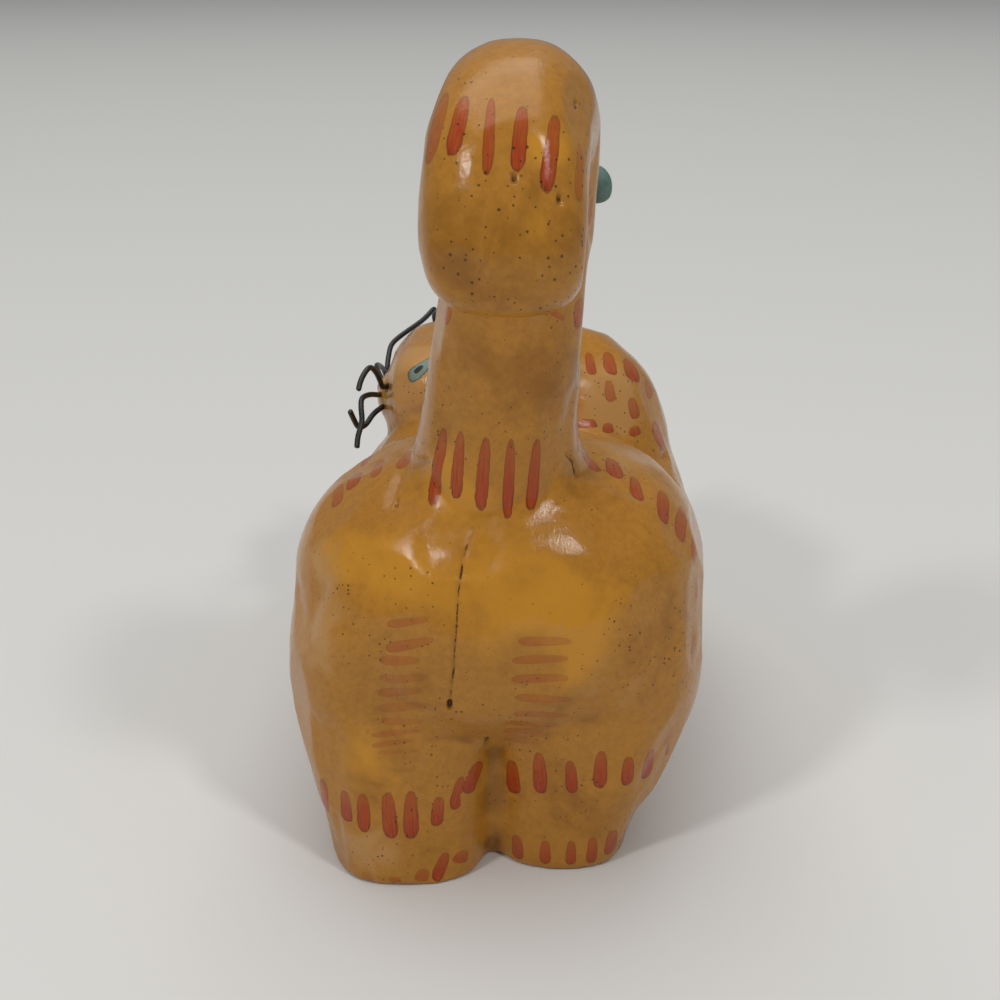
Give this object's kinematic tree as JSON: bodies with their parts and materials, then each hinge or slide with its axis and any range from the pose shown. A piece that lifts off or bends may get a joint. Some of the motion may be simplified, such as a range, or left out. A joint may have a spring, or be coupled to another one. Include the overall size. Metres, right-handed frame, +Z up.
{
  "type": "carved cat figurine",
  "caption": "Small carved and painted wooden cat, standing, with a thick tail hooked over its rump, its head turned to the side and bent wire whiskers.",
  "frame": {"origin": "on the floor that the feet stand on, under the middle of the bounding box", "axes": "+Z up, the cat faces -Y, its left side is +X"},
  "size_m": [0.054, 0.1036, 0.0999],
  "materials": {
    "painted_wood": "ochre paint with brick red dashes under a clear glossy lacquer",
    "teal_bead": "satin teal paint",
    "black_wire": "black, satin"
  },
  "bodies": {
    "root": {"cat": "painted_wood", "tail_bead": "teal_bead", "whisker_left_1": "black_wire", "whisker_left_2": "black_wire", "whisker_left_3": "black_wire", "whisker_right_1": "black_wire", "whisker_right_2": "black_wire", "whisker_right_3": "black_wire"}
  },
  "joints": []
}
